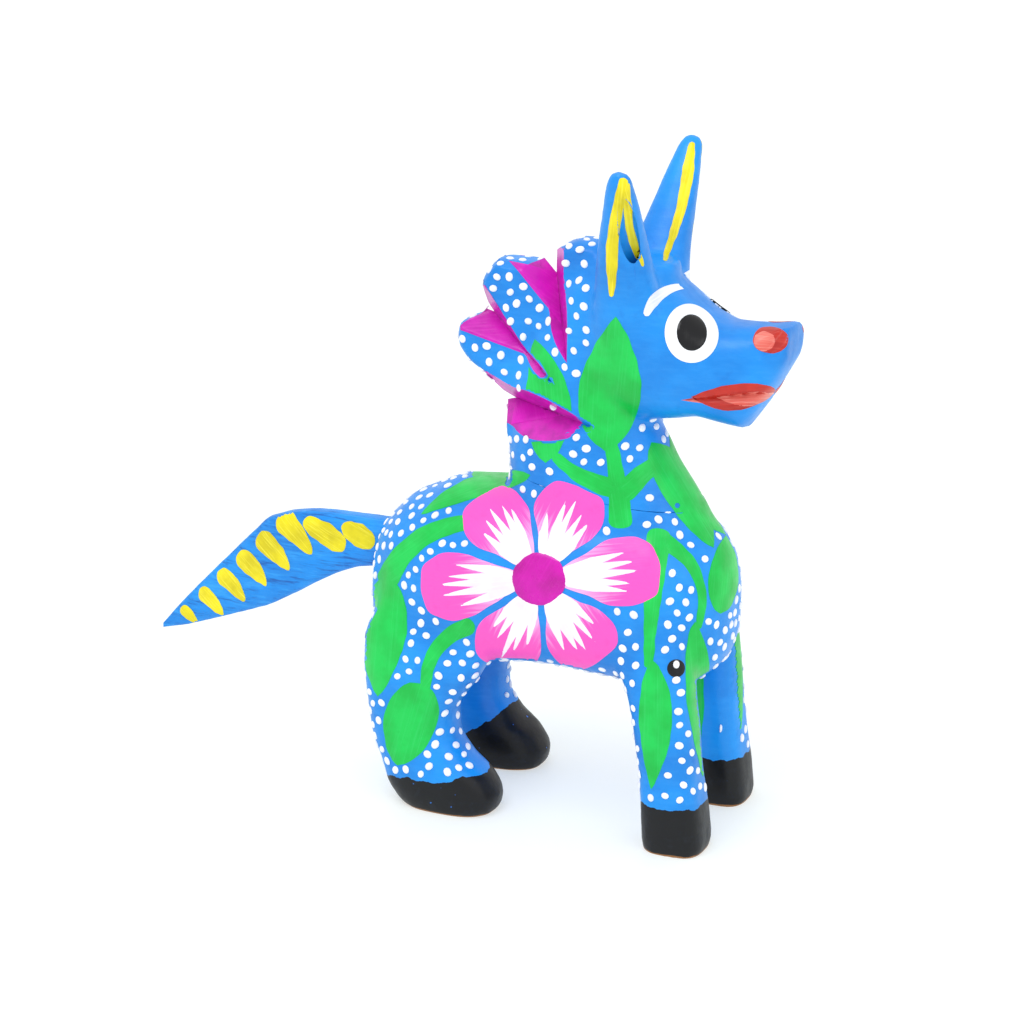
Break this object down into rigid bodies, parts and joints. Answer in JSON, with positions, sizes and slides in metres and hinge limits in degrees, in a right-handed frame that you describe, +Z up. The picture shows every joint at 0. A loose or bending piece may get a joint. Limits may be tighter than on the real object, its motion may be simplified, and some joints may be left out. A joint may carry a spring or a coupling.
{
  "type": "carved pony figure",
  "caption": "Small carved wooden pony standing on four hooves, with tall ears, a notched mane board and a flat push-in tail, painted with dots, leaves and a flower.",
  "frame": {"origin": "on the surface it stands on, under the middle of the whole figure's box", "axes": "+X the way the pony faces, +Y its left side, +Z up"},
  "size_m": [0.0934, 0.028, 0.0902],
  "materials": {
    "body_wood": "satin acrylic paint over sanded wood",
    "head_wood": "satin acrylic paint over sanded wood",
    "tail_wood": "satin acrylic paint over rough-grained wood",
    "peg_wood": "bare"
  },
  "bodies": {
    "figure": {"body": "body_wood", "head": "head_wood", "neck_peg": "peg_wood"},
    "tail": {"tail": "tail_wood"}
  },
  "joints": [
    {"name": "tail_pull", "type": "slide", "parent": "figure", "child": "tail", "axis": [-1, 0, 0], "range_m": [0, 0.01]}
  ]
}
